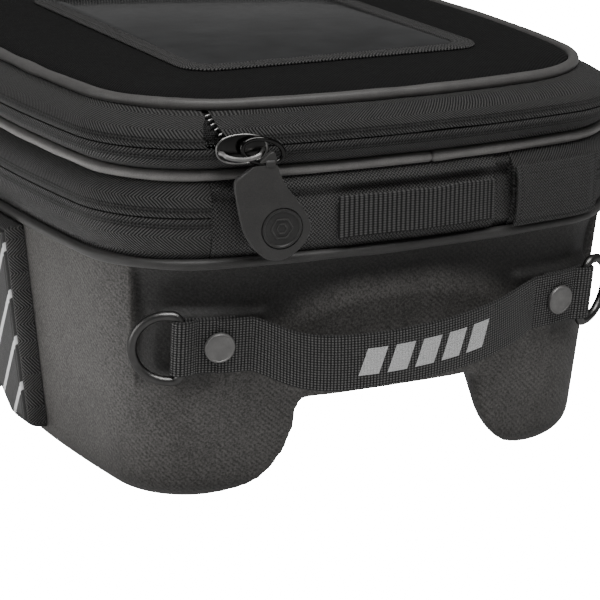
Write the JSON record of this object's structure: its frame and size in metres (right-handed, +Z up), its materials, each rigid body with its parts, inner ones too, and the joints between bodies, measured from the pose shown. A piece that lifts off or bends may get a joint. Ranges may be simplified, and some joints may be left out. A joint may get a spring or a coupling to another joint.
{
  "type": "motorcycle tank bag",
  "caption": "Moulded saddle-shaped motorcycle tank bag with an expansion band, zipped lid, carry handle and D-rings.",
  "frame": {"origin": "centre of the whole object's footprint, on the plane of its four feet", "axes": "+X to the rider's right, +Y to the front of the motorcycle, +Z up"},
  "size_m": [0.3012, 0.3496, 0.1923],
  "materials": {
    "moulded_eva": "moulded foam skin with a fine twill embossing, matt with a soft sheen",
    "zip_tape": "herringbone woven polyester tape",
    "binding": "herringbone binding tape",
    "piping": "fabric-covered cord with a smooth satin face",
    "nylon": "ballistic nylon, coarse plain weave",
    "webbing": "ribbed woven webbing",
    "zip_coil": "nylon coil teeth",
    "black_nickel": "polished black nickel",
    "gunmetal": "satin gunmetal plating",
    "rubber": "moulded rubber, matt with a fine grain",
    "lid_fabric": "coated black fabric",
    "clear_vinyl": "clear flexible vinyl over a dark pocket",
    "lining": "plain grey lining",
    "board": "stiff plastic board",
    "grip_mat": "soft non-slip mat",
    "pocket_panel": "coated panel with fine light diagonal lines"
  },
  "bodies": {
    "base": {"base_shell": "moulded_eva", "base_lining": "lining", "floor_board": "board", "saddle_grip_mat": "grip_mat", "rim_piping": "piping", "expansion_lower_tape": "zip_tape", "expansion_lower_coil": "zip_coil", "expansion_gusset": "nylon", "rear_panel": "nylon", "rear_webbing_loop": "webbing", "expansion_slider_cover": "nylon", "strap_end_left": "webbing", "strap_end_right": "webbing", "rivet_left": "gunmetal", "rivet_right": "gunmetal", "rivet_washer_left": "gunmetal", "rivet_washer_right": "gunmetal", "side_pocket_left": "binding", "side_pocket_right": "binding", "side_pocket_panel_left": "pocket_panel", "side_pocket_panel_right": "pocket_panel"},
    "expansion_frame": {"expansion_upper_tape": "zip_tape", "expansion_upper_coil": "zip_coil", "middle_piping": "piping", "lid_zip_lower_tape": "zip_tape", "lid_zip_lower_coil": "zip_coil"},
    "lid": {"lid_zip_upper_tape": "zip_tape", "lid_zip_upper_coil": "zip_coil", "lid_hinge_strip": "nylon", "top_piping": "piping", "lid_panel": "lid_fabric", "lid_stiffener": "board", "map_window": "clear_vinyl", "map_window_binding": "binding"},
    "lid_slider": {"lid_slider": "black_nickel"},
    "pull_link": {"pull_link": "black_nickel"},
    "zip_pull": {"pull_tab": "rubber", "pull_button": "rubber"},
    "carry_handle": {"carry_handle": "webbing"},
    "d_ring_left": {"d_ring_left": "gunmetal"},
    "d_ring_right": {"d_ring_right": "gunmetal"},
    "expansion_slider": {"expansion_slider": "black_nickel"}
  },
  "joints": [
    {"name": "expansion", "type": "hinge", "parent": "base", "child": "expansion_frame", "pos_m": [0, -0.1654, 0.139], "axis": [1, 0, 0], "range_deg": [0, 9]},
    {"name": "lid_open", "type": "hinge", "parent": "expansion_frame", "child": "lid", "pos_m": [0, 0.1751, 0.17], "axis": [-1, 0, 0], "range_deg": [0, 110]},
    {"name": "lid_slider_travel", "type": "hinge", "parent": "expansion_frame", "child": "lid_slider", "pos_m": [0, 0.39766, 0.17], "axis": [0, 0, 1], "range_deg": [0, 17]},
    {"name": "link_swing", "type": "hinge", "parent": "lid_slider", "child": "pull_link", "pos_m": [-0.08012, -0.16514, 0.17], "axis": [0, 0, -1], "range_deg": [0, 24]},
    {"name": "pull_swing", "type": "hinge", "parent": "pull_link", "child": "zip_pull", "pos_m": [-0.07171, -0.16638, 0.1637], "axis": [-0.9892, 0.1467, 0], "range_deg": [0, 112]},
    {"name": "handle_swing", "type": "hinge", "parent": "base", "child": "carry_handle", "pos_m": [0, -0.1545, 0.0925], "axis": [-1, 0, 0], "range_deg": [0, 90]},
    {"name": "d_ring_left_swing", "type": "hinge", "parent": "base", "child": "d_ring_left", "pos_m": [-0.10586, -0.14806, 0.07852], "axis": [-0.0475, -0.0931, 0.9945], "range_deg": [0, 120]},
    {"name": "d_ring_right_swing", "type": "hinge", "parent": "base", "child": "d_ring_right", "pos_m": [0.10586, -0.14806, 0.07852], "axis": [-0.0475, 0.0931, -0.9945], "range_deg": [0, 120]},
    {"name": "expansion_slider_travel", "type": "hinge", "parent": "base", "child": "expansion_slider", "pos_m": [0, 0.39766, 0.139], "axis": [0, 0, 1], "range_deg": [-1, 0.5]}
  ]
}
